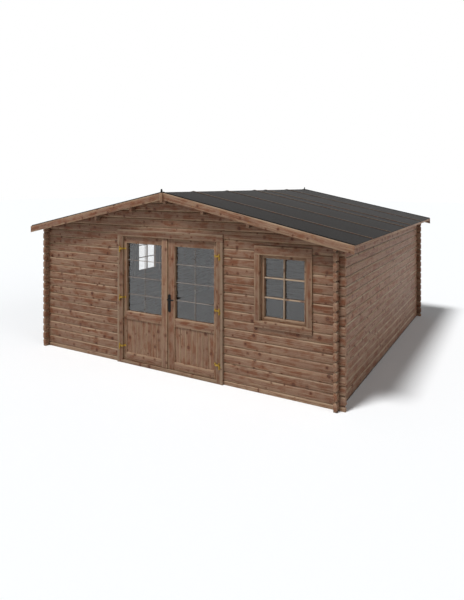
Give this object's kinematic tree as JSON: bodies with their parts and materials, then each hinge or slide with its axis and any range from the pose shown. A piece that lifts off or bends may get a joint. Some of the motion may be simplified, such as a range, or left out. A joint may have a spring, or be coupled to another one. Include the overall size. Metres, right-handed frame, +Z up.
{
  "type": "log cabin with double door",
  "caption": "Garden log cabin with crossed log corners, a low double-pitched felt roof, a glazed double door and small barred windows.",
  "frame": {"origin": "on the ground under the middle of the cabin", "axes": "+X to the right across the front, +Y from the door front towards the rear, +Z up"},
  "size_m": [5.316, 5.23, 2.533],
  "materials": {
    "wall_logs": "brown stained softwood",
    "purlins": "brown stained softwood",
    "roof_boards": "brown stained softwood",
    "roof_trim": "brown stained softwood",
    "felt_battens": "brown stained softwood",
    "floor": "brown stained softwood",
    "door_frame_wood": "brown stained softwood",
    "door_leaf_wood": "brown stained softwood",
    "window_wood": "brown stained softwood",
    "roofing_felt": "mineral felt",
    "ridge_cap": "dark sealed wood",
    "glass": "clear",
    "brass": "polished",
    "black_handle": "black powder coat"
  },
  "bodies": {
    "cabin": {"door_head": "door_frame_wood", "door_head_casings": "door_frame_wood", "door_jambs": "door_frame_wood", "door_side_casings": "door_frame_wood", "door_threshold": "door_frame_wood", "eave_strips": "roof_trim", "finials": "roof_trim", "floor_bearers": "floor", "floor_boards": "floor", "frame_hinges": "brass", "front_bargeboards": "roof_trim", "front_wall_even_logs": "wall_logs", "front_wall_odd_logs": "wall_logs", "left_felt_battens": "felt_battens", "left_roof_boards": "roof_boards", "left_roof_felt": "roofing_felt", "left_wall_even_logs": "wall_logs", "left_wall_odd_logs": "wall_logs", "rear_bargeboards": "roof_trim", "rear_wall_even_logs": "wall_logs", "rear_wall_odd_logs": "wall_logs", "ridge_caps": "ridge_cap", "ridge_purlin": "purlins", "right_felt_battens": "felt_battens", "right_roof_boards": "roof_boards", "right_roof_felt": "roofing_felt", "right_wall_even_logs": "wall_logs", "right_wall_odd_logs": "wall_logs", "side_purlins": "purlins", "window_glass": "glass", "window_head_and_foot_casings": "window_wood", "window_head_and_foot_frames": "window_wood", "window_sash_rails": "window_wood", "window_sash_stiles": "window_wood", "window_side_casings": "window_wood", "window_side_frames": "window_wood"},
    "left_door": {"door_meeting_cover": "door_leaf_wood", "left_door_glass": "glass", "left_door_hinges": "brass", "left_door_panel": "door_leaf_wood", "left_door_rails": "door_leaf_wood", "left_door_stiles": "door_leaf_wood"},
    "right_door": {"handle_plates": "black_handle", "right_door_glass": "glass", "right_door_hinges": "brass", "right_door_panel": "door_leaf_wood", "right_door_rails": "door_leaf_wood", "right_door_stiles": "door_leaf_wood"},
    "door_lever": {"door_lever": "black_handle"}
  },
  "joints": [
    {"name": "left_door_hinge", "type": "hinge", "parent": "cabin", "child": "left_door", "pos_m": [-0.85, -2.49, 0], "axis": [0, 0, -1], "range_deg": [0, 110]},
    {"name": "right_door_hinge", "type": "hinge", "parent": "cabin", "child": "right_door", "pos_m": [0.85, -2.49, 0], "axis": [0, 0, 1], "range_deg": [0, 110]},
    {"name": "lever_turn", "type": "hinge", "parent": "right_door", "child": "door_lever", "pos_m": [0.027, -2.431, 1.01], "axis": [0, 1, 0], "range_deg": [0, 40], "stiffness_Nm_per_rad": 1.5, "springref_deg": -14.32}
  ]
}
